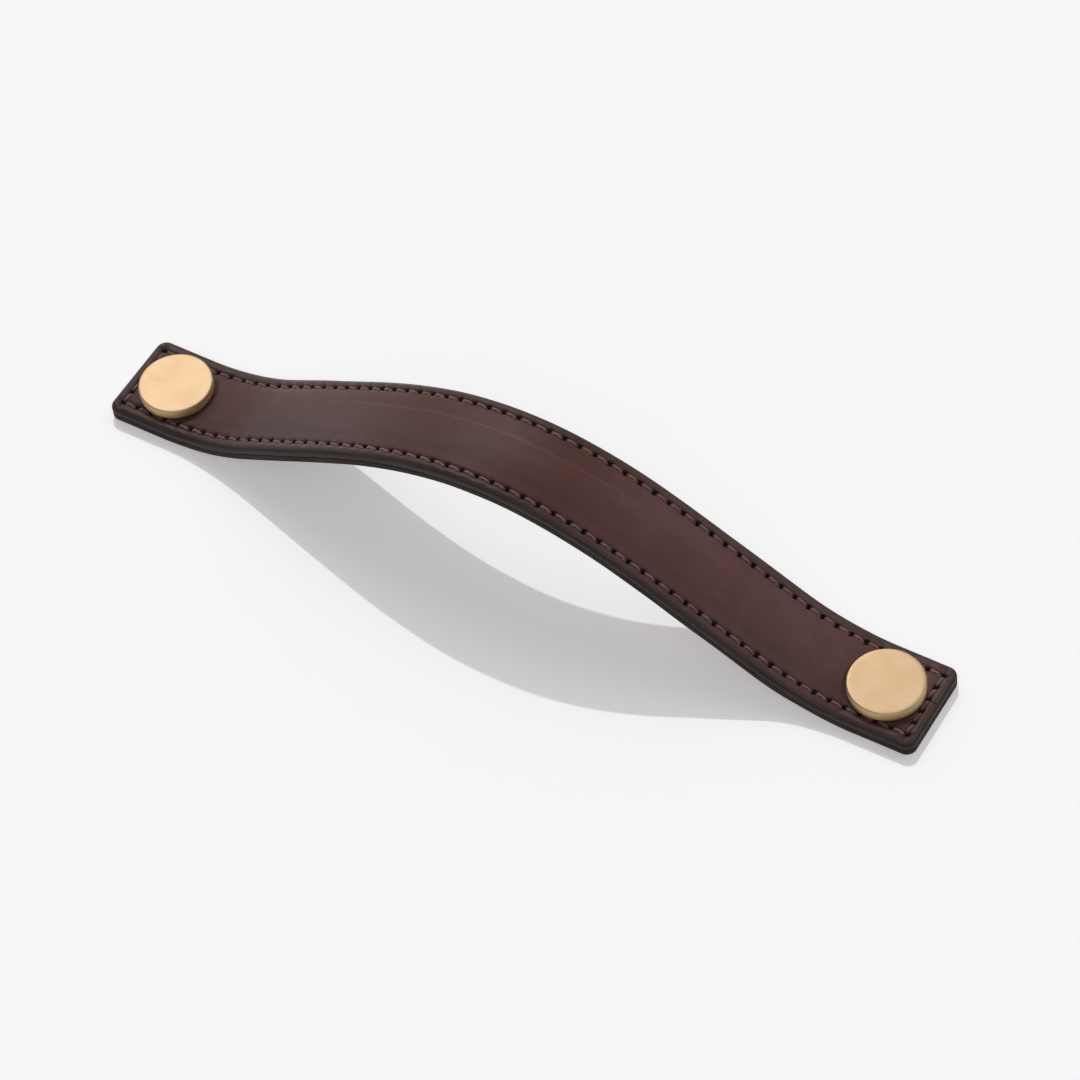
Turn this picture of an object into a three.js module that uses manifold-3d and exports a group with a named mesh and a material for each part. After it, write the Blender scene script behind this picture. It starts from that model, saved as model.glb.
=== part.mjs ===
// Leather strap pull for a drawer or a cupboard door.
// Two plies of leather are glued back to back, lockstitched together round their edge and bent over
// a form into an arch. A turned brass button at each end clamps the strap to the door with a screw
// from behind. Millimetres; X runs along the strap, Y across it and +Z away from the door, and the
// flat ends rest on z = 0.
import * as THREE from 'three';
import { mergeGeometries, mergeVertices } from 'three/addons/utils/BufferGeometryUtils.js';
import Module from 'manifold-3d';

const wasm = await Module();
wasm.setup();

// Strap
const HOLE_SPACING = 224; // between the two fixing screws
const END_MARGIN = 14.5; // from a screw to the strap's end
const STRAP_WIDTH = 28;
const FACE_PLY = 2.4;
const BACK_PLY = 2.4;
const GLUE_LINE = 0.1; // left open between the plies
const CORNER_RADIUS = 3;
const FACE_EDGE_ROUND = 1.3;
const BACK_EDGE_ROUND = 0.8;

// Arch, measured along the glue line
const FLANK_SLOPE = THREE.MathUtils.degToRad(27.3); // of the straight stretch between crest and foot
const FOOT_RADIUS = 61; // of the bend beside each button
const CREST_LENGTH = 62; // from the top of the arch to the straight flank
const SEAT_FLAT = 3.5; // flat leather inward of a screw's axis, before the foot starts

// Stitching
const STITCH_PITCH = 4.6;
const STITCH_INSET = 3.3; // from the strap's edge to the row
const THREAD_DIAMETER = 0.7;
const THREAD_SINK = 0.2; // from the leather's surface down to the laid thread
const THREAD_CLEARANCE = 0.1; // between a thread and the floor of its groove
const AWL_HOLE_LENGTH = 1.5; // along the row
const AWL_HOLE_WIDTH = 0.9;
const GROOVE_FLOOR = 1;
const GROOVE_MOUTH = 2;
const STRAND_SPREAD = 1; // between the two strands of a loop where they enter a hole
const CROTCH_DEPTH = 0.8; // from the laid thread to where those strands meet
const LOCK_GAP = 0.1; // between the needle thread and the bobbin thread in the hole

// Buttons
const BUTTON_DIAMETER = 21;
const BUTTON_THICKNESS = 3.1;
const BUTTON_EDGE_ROUND = 0.5;
const BUTTON_PRESS = 0.1; // how deep the button is drawn into the leather
const BUTTON_CLEARANCE = 0.3; // between its rim and the leather that rises beside it
const SHANK_DIAMETER = 8;
const SHANK_CLEARANCE = 0.3; // between the shank and the hole that it fills
const SHANK_END_GAP = 0.4; // the shank stops short of the door, so that the leather is clamped
const SCREW_CORE_DIAMETER = 3.3; // tapping size of an M4 thread
const SCREW_DEPTH = 6;

// Fineness of the facets
const FACET_TURN = THREE.MathUtils.degToRad(4.2); // a new facet starts once the arch has turned this far
const CURVE_STEP = 0.2; // along the arch, when its slope is added up
const CORNER_STEPS = 3;
const SHANK_HOLE_SIDES = 16;
const BUTTON_SIDES = 32;
const ROUND_STEPS = 2;
const NEEDLE_THREAD_SIDES = 4;
const BOBBIN_THREAD_SIDES = 3; // on the back, where it hardly shows

const material = (color, roughness, metalness) => new THREE.MeshStandardMaterial({
  color,
  roughness,
  metalness,
  flatShading: true,
});

const faceLeather = material('#57403c', 0.5, 0);
const backLeather = material('#3b3230', 0.65, 0);
const threadFinish = material('#6b504a', 0.45, 0);
const brass = material('#dcb780', 0.35, 1);

// Arch: the slope grows as a sine from the crest, stays steady down the flank and dies out in the foot
const footStart = HOLE_SPACING / 2 - SEAT_FLAT;
const footLength = FOOT_RADIUS * FLANK_SLOPE;
const crest = crestTo(CREST_LENGTH);
const flankReach = footStart - crest.reach - FOOT_RADIUS * Math.sin(FLANK_SLOPE);
const flankLength = flankReach / Math.cos(FLANK_SLOPE);
const flankDrop = flankReach * Math.tan(FLANK_SLOPE);
const footDrop = FOOT_RADIUS * (1 - Math.cos(FLANK_SLOPE));
const archRise = crest.drop + flankDrop + footDrop;
const archLength = CREST_LENGTH + flankLength + footLength;
const halfLength = archLength + HOLE_SPACING / 2 + END_MARGIN - footStart;
const glueHeight = BACK_PLY + GLUE_LINE / 2; // over the door, at the flat ends
const seatHeight = BACK_PLY + GLUE_LINE + FACE_PLY - BUTTON_PRESS; // of the button's underside

// Downward slope of the glue line at a distance s from the top of the arch
function slopeAt(s) {
  if (s < CREST_LENGTH) return FLANK_SLOPE * Math.sin((Math.PI / 2) * (s / CREST_LENGTH));
  if (s < CREST_LENGTH + flankLength) return FLANK_SLOPE;
  return Math.max(0, (archLength - s) / FOOT_RADIUS);
}

// How far the crest reaches outwards and drops within a distance s from its top
function crestTo(s) {
  const steps = Math.max(1, Math.ceil(s / CURVE_STEP));
  const step = s / steps;
  const total = { reach: 0, drop: 0 };
  for (let i = 0; i < steps; i += 1) {
    const slope = slopeAt((i + 0.5) * step);
    total.reach += Math.cos(slope) * step;
    total.drop += Math.sin(slope) * step;
  }
  return total;
}

// The same for the whole arch and the flat end beyond it
function archTo(s) {
  if (s < CREST_LENGTH) return crestTo(s);
  if (s >= archLength) return { reach: footStart + s - archLength, drop: archRise };
  const slope = slopeAt(s);
  const down = Math.min(s - CREST_LENGTH, flankLength);
  const footReach = FOOT_RADIUS * (Math.sin(FLANK_SLOPE) - Math.sin(slope));
  const footFall = FOOT_RADIUS * (Math.cos(slope) - Math.cos(FLANK_SLOPE));
  return {
    reach: crest.reach + down * Math.cos(FLANK_SLOPE) + footReach,
    drop: crest.drop + down * Math.sin(FLANK_SLOPE) + footFall,
  };
}

// Place and outward direction of the glue line at a signed distance s from the top of the arch
function frameAt(s) {
  const side = Math.sign(s);
  const { reach, drop } = archTo(Math.abs(s));
  const slope = slopeAt(Math.abs(s));
  return {
    s,
    x: side * reach,
    z: glueHeight + archRise - drop,
    outX: side * Math.sin(slope),
    outZ: Math.cos(slope),
  };
}

// Stitches: the same rows of holes run through both plies
const rowHalfLength = halfLength - STITCH_INSET;
const rowHalfWidth = STRAP_WIDTH / 2 - STITCH_INSET;
const longStitches = Math.round((2 * rowHalfLength) / STITCH_PITCH);
const shortStitches = Math.round((2 * rowHalfWidth) / STITCH_PITCH);
const longStep = (2 * rowHalfLength) / longStitches;
const grooveDepth = THREAD_SINK + THREAD_DIAMETER + THREAD_CLEARANCE;

// Lines across the strap where one flat facet meets the next. They lie midway between two stitch
// holes, so that no hole falls on one, and at the start of the foot.
function foldLines() {
  const lines = [];
  const first = longStitches % 2 === 0 ? longStep / 2 : 0;
  let kept = -Infinity;
  for (let s = first; s < archLength - longStep / 2; s += longStep) {
    const slope = slopeAt(s);
    const flankEnd = slope === FLANK_SLOPE
      && (slopeAt(s - longStep) !== slope || slopeAt(s + longStep) !== slope);
    if (Math.abs(slope - kept) >= FACET_TURN || flankEnd) {
      lines.push(s);
      kept = slope;
    }
  }
  lines.push(archLength);
  const mirrored = lines.filter((s) => s > 0).map((s) => -s);
  return [...mirrored.reverse(), ...lines];
}

const folds = foldLines();
const frames = [-halfLength, ...folds, halfLength].map(frameAt);

// Bends the flat strap: s along it, y across it and h out from the glue line
function bend(s, y, h) {
  let i = 1;
  while (i < frames.length - 1 && frames[i].s < s) {
    i += 1;
  }
  const from = frames[i - 1];
  const to = frames[i];
  const t = (s - from.s) / (to.s - from.s);
  const mix = THREE.MathUtils.lerp;
  const x = mix(from.x + h * from.outX, to.x + h * to.outX, t);
  const z = mix(from.z + h * from.outZ, to.z + h * to.outZ, t);
  return new THREE.Vector3(x, y, z);
}

// Closes a stack of rings, each with as many points, into one skin
function loft(rings, closed) {
  const count = rings[0].length;
  const index = [];
  const bands = closed ? rings.length : rings.length - 1;
  for (let i = 0; i < bands; i += 1) {
    const lower = i * count;
    const upper = ((i + 1) % rings.length) * count;
    for (let j = 0; j < count; j += 1) {
      const next = (j + 1) % count;
      index.push(lower + j, lower + next, upper + next);
      index.push(lower + j, upper + next, upper + j);
    }
  }
  const geometry = new THREE.BufferGeometry().setFromPoints(rings.flat());
  geometry.setIndex(index);
  return geometry;
}

// Merges shared vertices and drops the triangles that this leaves without area
function welded(geometry) {
  const bare = geometry.clone();
  bare.deleteAttribute('normal');
  bare.deleteAttribute('uv');
  const merged = mergeVertices(bare, 1e-5);
  const index = [];
  for (let i = 0; i < merged.index.count; i += 3) {
    const [a, b, c] = [0, 1, 2].map((k) => merged.index.getX(i + k));
    if (a !== b && b !== c && c !== a) {
      index.push(a, b, c);
    }
  }
  merged.setIndex(index);
  return merged;
}

function solid(geometry) {
  const closed = welded(geometry);
  return new wasm.Manifold(new wasm.Mesh({
    numProp: 3,
    vertProperties: new Float32Array(closed.attributes.position.array),
    triVerts: new Uint32Array(closed.index.array),
  }));
}

function geometryOf(manifold) {
  const mesh = manifold.getMesh();
  const geometry = new THREE.BufferGeometry();
  geometry.setAttribute('position', new THREE.BufferAttribute(mesh.vertProperties, 3));
  geometry.setIndex(new THREE.BufferAttribute(mesh.triVerts, 1));
  return geometry;
}

// Outline of the strap, moved in from its edge, as a ring at one height
function outlineRing([inset, h]) {
  const radius = Math.max(CORNER_RADIUS - inset, 0);
  const cornerS = halfLength - inset - radius;
  const cornerY = STRAP_WIDTH / 2 - inset - radius;
  const corner = (sideS, sideY, start) => Array.from({ length: CORNER_STEPS + 1 }, (_, i) => {
    const angle = start + (i / CORNER_STEPS) * (Math.PI / 2);
    return [sideS * cornerS + radius * Math.cos(angle), sideY * cornerY + radius * Math.sin(angle)];
  });
  const edgeY = STRAP_WIDTH / 2 - inset;
  const plan = [
    ...folds.map((s) => [s, -edgeY]),
    ...corner(1, -1, -Math.PI / 2),
    ...corner(1, 1, 0),
    ...[...folds].reverse().map((s) => [s, edgeY]),
    ...corner(-1, 1, Math.PI / 2),
    ...corner(-1, -1, Math.PI),
  ];
  return plan.map(([s, y]) => bend(s, y, h));
}

// The same ring drawn together on the middle of the strap, which closes a face
function spineRing(h) {
  const cornerPoints = 2 * (CORNER_STEPS + 1);
  const first = folds[0];
  const last = folds[folds.length - 1];
  const line = [
    ...folds,
    ...Array(cornerPoints).fill(last),
    ...[...folds].reverse(),
    ...Array(cornerPoints).fill(first),
  ];
  return line.map((s) => bend(s, 0, h));
}

// A ply's section from the glue line out to its grooved side, as insets from the edge and heights
function plySection(thickness, edgeRound) {
  const inner = GLUE_LINE / 2;
  const outer = inner + thickness;
  const floor = outer - grooveDepth;
  const section = [[0, inner]];
  for (let i = 0; i <= ROUND_STEPS; i += 1) {
    const angle = (i / ROUND_STEPS) * (Math.PI / 2);
    section.push([edgeRound * (1 - Math.cos(angle)), outer - edgeRound * (1 - Math.sin(angle))]);
  }
  section.push([STITCH_INSET - GROOVE_MOUTH / 2, outer]);
  section.push([STITCH_INSET - GROOVE_FLOOR / 2, floor]);
  section.push([STITCH_INSET + GROOVE_FLOOR / 2, floor]);
  section.push([STITCH_INSET + GROOVE_MOUTH / 2, outer]);
  return section;
}

// side is 1 for the face ply and -1 for the backing, whose grooved side looks at the door
function plyBlank(thickness, edgeRound, side) {
  const section = plySection(thickness, edgeRound);
  const inner = section[0][1];
  const outer = section[section.length - 1][1];
  const rings = [
    spineRing(side * inner),
    ...section.map(([inset, h]) => outlineRing([inset, side * h])),
    spineRing(side * outer),
  ];
  return loft(side > 0 ? rings : rings.reverse(), false);
}

// Stitch holes in order round the strap, each with the direction of the row before and after it
function stitchHoles() {
  const corners = [[-1, -1], [1, -1], [1, 1], [-1, 1]].map(([s, y]) => (
    new THREE.Vector2(s * rowHalfLength, y * rowHalfWidth)));
  return corners.flatMap((start, side) => {
    const end = corners[(side + 1) % 4];
    const along = end.clone().sub(start).normalize();
    const turnedFrom = new THREE.Vector2(along.y, -along.x);
    const count = side % 2 === 0 ? longStitches : shortStitches;
    return Array.from({ length: count }, (_, i) => ({
      at: start.clone().lerp(end, i / count),
      arrives: i === 0 ? turnedFrom : along,
      leaves: along,
    }));
  });
}

const holes = stitchHoles();

// Cutter for one stitch hole, square to the leather at that place
function awlCutter({ at, arrives, leaves }, reach) {
  const cornerHole = arrives !== leaves;
  const halfLong = AWL_HOLE_LENGTH / 2;
  const halfWide = cornerHole ? halfLong : AWL_HOLE_WIDTH / 2;
  const across = new THREE.Vector2(-leaves.y, leaves.x);
  const ring = (h) => [[-1, -1], [1, -1], [1, 1], [-1, 1]].map(([u, v]) => {
    const point = at.clone().addScaledVector(leaves, u * halfLong).addScaledVector(across, v * halfWide);
    return bend(point.x, point.y, h);
  });
  const centre = (h) => Array(4).fill(bend(at.x, at.y, h));
  return loft([centre(-reach), ring(-reach), ring(reach), centre(reach)], false);
}

// Upright round cutter from one height to another, over the screw at x
function roundCutter(x, radius, from, to, sides) {
  const cutter = new THREE.CylinderGeometry(radius, radius, to - from, sides);
  cutter.rotateX(Math.PI / 2);
  cutter.translate(x, 0, (from + to) / 2);
  return cutter;
}

// Each ply is punched for the shanks, and the buttons press their seats into the face ply
function ply(thickness, edgeRound, side) {
  const reach = 2 * (thickness + GLUE_LINE);
  const stitchCuts = mergeGeometries(holes.map((hole) => awlCutter(hole, reach)));
  const shankRadius = SHANK_DIAMETER / 2 + SHANK_CLEARANCE;
  const seatRadius = BUTTON_DIAMETER / 2 + BUTTON_CLEARANCE;
  const top = seatHeight + BUTTON_THICKNESS;
  let leather = solid(plyBlank(thickness, edgeRound, side)).subtract(solid(stitchCuts));
  for (const x of [-HOLE_SPACING / 2, HOLE_SPACING / 2]) {
    leather = leather.subtract(solid(roundCutter(x, shankRadius, -reach, top, SHANK_HOLE_SIDES)));
    leather = leather.subtract(solid(roundCutter(x, seatRadius, seatHeight, top, BUTTON_SIDES)));
  }
  return geometryOf(leather);
}

// One thread of the lockstitch: it lies in its groove, and at each hole a loop of it dips to the
// middle of the leather, where the thread of the other side meets it. side is 1 for the needle
// thread on the face and -1 for the bobbin thread on the back.
function thread(thickness, side, sides) {
  const radius = THREAD_DIAMETER / 2;
  const laid = GLUE_LINE / 2 + thickness - THREAD_SINK - radius;
  const crotch = laid - CROTCH_DEPTH;
  const lock = LOCK_GAP / 2;
  const section = (point, across, top, bottom) => Array.from({ length: sides }, (_, i) => {
    const angle = (i / sides) * 2 * Math.PI;
    const offset = side * radius * Math.sin(angle);
    const h = (top + bottom) / 2 + ((top - bottom) / 2) * Math.cos(angle);
    return bend(point.x + offset * across.x, point.y + offset * across.y, side * h);
  });
  const right = (along) => new THREE.Vector2(along.y, -along.x);
  const laidSection = (point, along) => section(point, right(along), laid + radius, laid - radius);
  const rings = holes.flatMap(({ at, arrives, leaves }, i) => {
    const next = holes[(i + 1) % holes.length].at;
    const entering = at.clone().addScaledVector(arrives, -STRAND_SPREAD / 2);
    const leaving = at.clone().addScaledVector(leaves, STRAND_SPREAD / 2);
    const acrossHole = right(arrives).add(right(leaves)).normalize();
    const overFolds = folds
      .filter((s) => (s - leaving.x) * (s - next.x + leaves.x * (STRAND_SPREAD / 2)) < 0)
      .map((s) => laidSection(new THREE.Vector2(s, at.y), leaves));
    return [
      laidSection(entering, arrives),
      section(at, acrossHole, crotch, lock),
      laidSection(leaving, leaves),
      ...(leaves.x < 0 ? overFolds.reverse() : overFolds),
    ];
  });
  return welded(loft(rings, true));
}

// Button: a turned disc with a shank that fills the strap's hole and takes the screw from behind
function button() {
  const top = seatHeight + BUTTON_THICKNESS;
  const shank = SHANK_DIAMETER / 2;
  const core = SCREW_CORE_DIAMETER / 2;
  const rim = BUTTON_DIAMETER / 2;
  const profile = [
    [0, SHANK_END_GAP + SCREW_DEPTH],
    [core, SHANK_END_GAP + SCREW_DEPTH],
    [core, SHANK_END_GAP],
    [shank, SHANK_END_GAP],
    [shank, seatHeight],
    [rim, seatHeight],
  ].map(([r, z]) => new THREE.Vector2(r, z));
  for (let i = 0; i <= ROUND_STEPS; i += 1) {
    const angle = (i / ROUND_STEPS) * (Math.PI / 2);
    const inward = BUTTON_EDGE_ROUND * (1 - Math.cos(angle));
    const down = BUTTON_EDGE_ROUND * (1 - Math.sin(angle));
    profile.push(new THREE.Vector2(rim - inward, top - down));
  }
  profile.push(new THREE.Vector2(0, top));
  const turned = new THREE.LatheGeometry(profile, BUTTON_SIDES);
  turned.rotateX(Math.PI / 2);
  return welded(turned);
}

function named(name, geometry, finish) {
  const mesh = new THREE.Mesh(geometry, finish);
  mesh.name = name;
  return mesh;
}

const pull = new THREE.Group();
pull.add(named('face_strap', ply(FACE_PLY, FACE_EDGE_ROUND, 1), faceLeather));
pull.add(named('backing_strap', ply(BACK_PLY, BACK_EDGE_ROUND, -1), backLeather));
pull.add(named('needle_thread', thread(FACE_PLY, 1, NEEDLE_THREAD_SIDES), threadFinish));
pull.add(named('bobbin_thread', thread(BACK_PLY, -1, BOBBIN_THREAD_SIDES), threadFinish));
for (const [name, x] of [['left_button', -HOLE_SPACING / 2], ['right_button', HOLE_SPACING / 2]]) {
  const mesh = named(name, button(), brass);
  mesh.position.set(x, 0, 0);
  pull.add(mesh);
}

export default pull;
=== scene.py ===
# %% [markdown]
# # A stitched leather strap pull with brass buttons
# Two strips of leather are glued back to back, sewn together round their edge and bent into an arch.
# A turned brass button at each end clamps the strap to the door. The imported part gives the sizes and
# stays as the fixed frame. This lesson dresses it: every piece of the frame is replaced by one that
# has the wear, the stitch holes and the finish that the real pull shows.

import math

import bpy
import numpy as np
from mathutils import Matrix, Vector


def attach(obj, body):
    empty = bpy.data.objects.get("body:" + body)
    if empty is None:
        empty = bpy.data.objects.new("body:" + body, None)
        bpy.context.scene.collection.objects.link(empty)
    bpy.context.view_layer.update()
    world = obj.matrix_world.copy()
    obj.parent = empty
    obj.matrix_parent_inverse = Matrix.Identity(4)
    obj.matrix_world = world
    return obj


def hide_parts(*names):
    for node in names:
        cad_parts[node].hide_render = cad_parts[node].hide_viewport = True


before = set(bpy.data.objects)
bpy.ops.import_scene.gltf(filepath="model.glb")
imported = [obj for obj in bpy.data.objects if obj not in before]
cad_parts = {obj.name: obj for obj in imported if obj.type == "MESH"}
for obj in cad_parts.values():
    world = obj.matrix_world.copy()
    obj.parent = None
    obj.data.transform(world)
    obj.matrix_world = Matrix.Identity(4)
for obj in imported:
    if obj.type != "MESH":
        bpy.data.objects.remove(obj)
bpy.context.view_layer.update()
mm = 0.001


def placed(name, data):
    """A new object in the scene."""
    made = bpy.data.objects.new(name, data)
    bpy.context.scene.collection.objects.link(made)
    return made


# %% [markdown]
# ## Sizes
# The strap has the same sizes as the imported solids. A maker would write them on the pattern: how far
# apart the screws are, how wide the leather is cut, where the stitching runs and how the former that
# the strap is bent over is shaped.

# %% Sizes of the pull
HOLE_SPACING = 224 * mm
END_MARGIN = 14.5 * mm
STRAP_WIDTH = 28 * mm
PLY = 2.4 * mm
GLUE_LINE = 0.1 * mm
CORNER_RADIUS = 3 * mm
FLANK_SLOPE = math.radians(27.3)
FOOT_RADIUS = 61 * mm
CREST_LENGTH = 62 * mm
SEAT_FLAT = 3.5 * mm
STITCH_PITCH = 4.6 * mm
STITCH_INSET = 3.3 * mm
ROW_WIDENING = 0.15 * mm
ROW_NARROWING = 0.5 * mm
THREAD_DIAMETER = 0.7 * mm
BUTTON_DIAMETER = 21 * mm
BUTTON_THICKNESS = 3.1 * mm
SEAT_HEIGHT = 4.8 * mm
SHANK_DIAMETER = 8 * mm
SHANK_HOLE = 8.6 * mm
SHANK_END = 0.4 * mm
SCREW_CORE = 3.3 * mm
SCREW_DEPTH = 6 * mm

# %% [markdown]
# ## Wires
# Node trees get hard to read when every node is made by hand. A small wrapper round an output socket
# lets sums be written as sums: `1 - mask * 0.5` adds its own Math nodes. The same wrapper serves the
# trees that shape the pieces and the trees that colour them.


# %% Wires and trees
class Wire:
    """An output socket. A sum or product of wires adds Math nodes to the tree."""

    def __init__(self, tree, socket):
        self.tree, self.socket = tree, socket

    def math(self, operation, *others):
        """A Math node with this wire first."""
        sockets = dict(enumerate((self, *others)))
        return self.tree.node("ShaderNodeMath", sockets, operation=operation)

    def __add__(self, other):
        return self.math("ADD", other)

    def __sub__(self, other):
        return self.math("SUBTRACT", other)

    def __rsub__(self, other):
        return self.math("MULTIPLY_ADD", -1.0, other)

    def __mul__(self, other):
        return self.math("MULTIPLY", other)

    __radd__ = __add__
    __rmul__ = __mul__

    def least(self, other):
        """The smaller of two values."""
        return self.math("MINIMUM", other)

    def most(self, other):
        """The larger of two values."""
        return self.math("MAXIMUM", other)

    def size(self):
        """The value without its sign."""
        return self.math("ABSOLUTE")

    def step(self, low, high, to_low=0.0, to_high=1.0):
        """A soft step from to_low to to_high while the value goes from low to high."""
        sockets = {"Value": self, 1: low, 2: high, 3: to_low, 4: to_high}
        return self.tree.node("ShaderNodeMapRange", sockets, interpolation_type="SMOOTHSTEP")

    def other(self, name):
        """Another output of the same node."""
        return Wire(self.tree, self.socket.node.outputs[name])


class Tree:
    """A node tree that is filled from Python."""

    def __init__(self, node_tree):
        self.node_tree = node_tree

    def node(self, kind, sockets=None, out=0, **settings):
        """Adds a node, links or sets its inputs, and gives one of its outputs."""
        made = self.node_tree.nodes.new(kind)
        for name, value in settings.items():
            setattr(made, name, value)
        for key, value in (sockets or {}).items():
            if isinstance(value, Wire):
                self.node_tree.links.new(value.socket, made.inputs[key])
            else:
                made.inputs[key].default_value = value
        return Wire(self, made.outputs[out]) if made.outputs else made

    def vector(self, x, y, z):
        return self.node("ShaderNodeCombineXYZ", {0: x, 1: y, 2: z})

    def parts(self, vector):
        x = self.node("ShaderNodeSeparateXYZ", {0: vector})
        return x, x.other("Y"), x.other("Z")

    def vector_math(self, operation, *values, out="Vector"):
        return self.node("ShaderNodeVectorMath", dict(enumerate(values)), out=out, operation=operation)

    def scaled(self, vector, factor):
        return self.node("ShaderNodeVectorMath", {0: vector, "Scale": factor}, operation="SCALE")

    def mix(self, factor, first, second, blend_type="MIX"):
        """Mixes two colours."""
        first, second = (c if isinstance(c, Wire) else (*c, 1) for c in (first, second))
        sockets = {0: factor, 6: first, 7: second}
        return self.node("ShaderNodeMix", sockets, out=2, data_type="RGBA", blend_type=blend_type)

    def dimmed(self, colour, share):
        """A colour times a value."""
        return self.mix(1.0, colour, self.vector(share, share, share), blend_type="MULTIPLY")

    def noise(self, place, stretch, detail=2.0, roughness=0.5):
        """Noise whose spots are about 1 / stretch long along each axis."""
        spots = self.vector_math("MULTIPLY", place, stretch)
        sockets = {"Vector": spots, "Scale": 1.0, "Detail": detail, "Roughness": roughness}
        return self.node("ShaderNodeTexNoise", sockets)


# %% [markdown]
# ## The former
# Wet leather is bent over a wooden former and keeps its curve when it dries. The former of this pull
# is gentle at the top, straight down both flanks and curves back to the door beside each button. One
# rule gives the slope at any distance from the top, and adding up short steps of that slope gives the
# line of glue between the two strips. It becomes a curve object, and later pieces are bent along it.


# %% The line of glue over the former
CREST_POINTS = 621
FORMER_POINTS = 1241


def crest_slope(s):
    return FLANK_SLOPE * np.sin(math.pi / 2 * s / CREST_LENGTH)


foot_start = HOLE_SPACING / 2 - SEAT_FLAT
steps = np.linspace(0, CREST_LENGTH, CREST_POINTS)
middles = (steps[1:] + steps[:-1]) / 2
crest_reach = np.sum(np.cos(crest_slope(middles))) * (steps[1] - steps[0])
flank_reach = foot_start - crest_reach - FOOT_RADIUS * math.sin(FLANK_SLOPE)
flank_length = flank_reach / math.cos(FLANK_SLOPE)
arch_length = CREST_LENGTH + flank_length + FOOT_RADIUS * FLANK_SLOPE
half_length = arch_length + SEAT_FLAT + END_MARGIN
glue_height = PLY + GLUE_LINE / 2


def slope_at(s):
    """Slope of the glue line at distances s from the top, downwards on both sides."""
    away = np.abs(s)
    slope = np.where(away < CREST_LENGTH, crest_slope(away), FLANK_SLOPE)
    foot = np.clip((arch_length - away) / FOOT_RADIUS, 0, None)
    return np.sign(s) * np.minimum(slope, foot)


former_s = np.linspace(-half_length, half_length, FORMER_POINTS)
between = slope_at((former_s[1:] + former_s[:-1]) / 2)
pace = former_s[1] - former_s[0]
former_x = np.concatenate([[0], np.cumsum(np.cos(between) * pace)])
former_x -= former_x[-1] / 2
former_z = glue_height + np.concatenate([[0], np.cumsum(-np.sin(between) * pace)])

curve = bpy.data.curves.new("former", "CURVE")
curve.dimensions = "3D"
line = curve.splines.new("POLY")
line.points.add(len(former_s) - 1)
none, full = np.zeros(FORMER_POINTS), np.ones(FORMER_POINTS)
line.points.foreach_set("co", np.column_stack([former_x, none, former_z, full]).ravel())
former = placed("former", curve)
cut, rise = 2 * half_length / mm, (former_z.max() - glue_height) / mm
print("strap cut", round(cut, 2), "mm long, rises", round(rise, 2), "mm")

# %% [markdown]
# ## Bending as a node tree
# Every soft piece is first made flat, as it is cut: x along the strap, y across it and z out from the
# glue line. The bend then moves each point to the place on the former that lies as far along it, and
# out from it by its height. Blender could do this with a Curve modifier, but a tree of a few nodes
# says exactly what happens, keeps the flat place as an attribute for the leather's grain, and serves
# the strips and the stitches alike.


# %% Trees that shape a piece
def shaping_tree(name, *inputs):
    """A Geometry Nodes tree, its wires by input name, and the identifiers of its inputs."""
    group = bpy.data.node_groups.new(name, "GeometryNodeTree")
    group.interface.new_socket("Geometry", in_out="OUTPUT", socket_type="NodeSocketGeometry")
    sockets = [("Geometry", "Geometry"), ("Former", "Object"), ("Finish", "Material"), *inputs]
    keys = {}
    for title, kind in sockets:
        made = group.interface.new_socket(title, in_out="INPUT", socket_type="NodeSocket" + kind)
        keys[title] = made.identifier
    tree = Tree(group)
    first = tree.node("NodeGroupInput")
    return tree, {title: first.other(title) for title, _ in sockets}, keys


def bend(tree, flat, former_wire):
    """Keeps each point's flat place and moves it onto the former."""
    place = tree.node("GeometryNodeInputPosition")
    kept = {"Geometry": flat, "Name": "flat", "Value": place}
    flat = tree.node("GeometryNodeStoreNamedAttribute", kept, data_type="FLOAT_VECTOR")
    along, across, out = tree.parts(place)
    line = tree.node("GeometryNodeObjectInfo", {"Object": former_wire}, out="Geometry")
    sockets = {"Curves": line, "Length": along + half_length}
    on_line = tree.node("GeometryNodeSampleCurve", sockets, out="Position", mode="LENGTH")
    outwards = tree.vector_math("CROSS_PRODUCT", on_line.other("Tangent"), (0, 1, 0))
    sideways = tree.vector(0, across, 0)
    lifted = tree.vector_math("ADD", on_line, tree.scaled(outwards, out))
    bent = tree.vector_math("ADD", lifted, sideways)
    return tree.node("GeometryNodeSetPosition", {"Geometry": flat, "Position": bent})


def finish_tree(tree, geometry, finish_wire):
    """Ends a tree with smooth shading and the finish."""
    real = tree.node("GeometryNodeRealizeInstances", {0: geometry})
    smooth = tree.node("GeometryNodeSetShadeSmooth", {0: real})
    painted = tree.node("GeometryNodeSetMaterial", {"Geometry": smooth, "Material": finish_wire})
    tree.node("NodeGroupOutput", {0: painted})


def shaped(flat_object, tree, keys, values):
    """Runs a tree on an object and returns a plain piece in its place."""
    modifier = flat_object.modifiers.new("shape", "NODES")
    modifier.node_group = tree.node_tree
    for title, value in values.items():
        modifier[keys[title]] = value
    evaluated = flat_object.evaluated_get(bpy.context.evaluated_depsgraph_get())
    mesh = bpy.data.meshes.new_from_object(evaluated)
    name = flat_object.name
    bpy.data.objects.remove(flat_object)
    mesh.name = name
    print(name, len(mesh.polygons), "faces")
    return placed(name, mesh)


strip_tree, wires, strip_keys = shaping_tree("bend a strip")
finish_tree(strip_tree, bend(strip_tree, wires["Geometry"], wires["Former"]), wires["Finish"])

# %% [markdown]
# ## Stitch holes
# The holes are pricked before sewing, evenly along each side, with one at every corner of the row.
# Their flat places are needed twice: the leather sinks in at each of them, and a stitch runs from
# each to the next.

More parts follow.
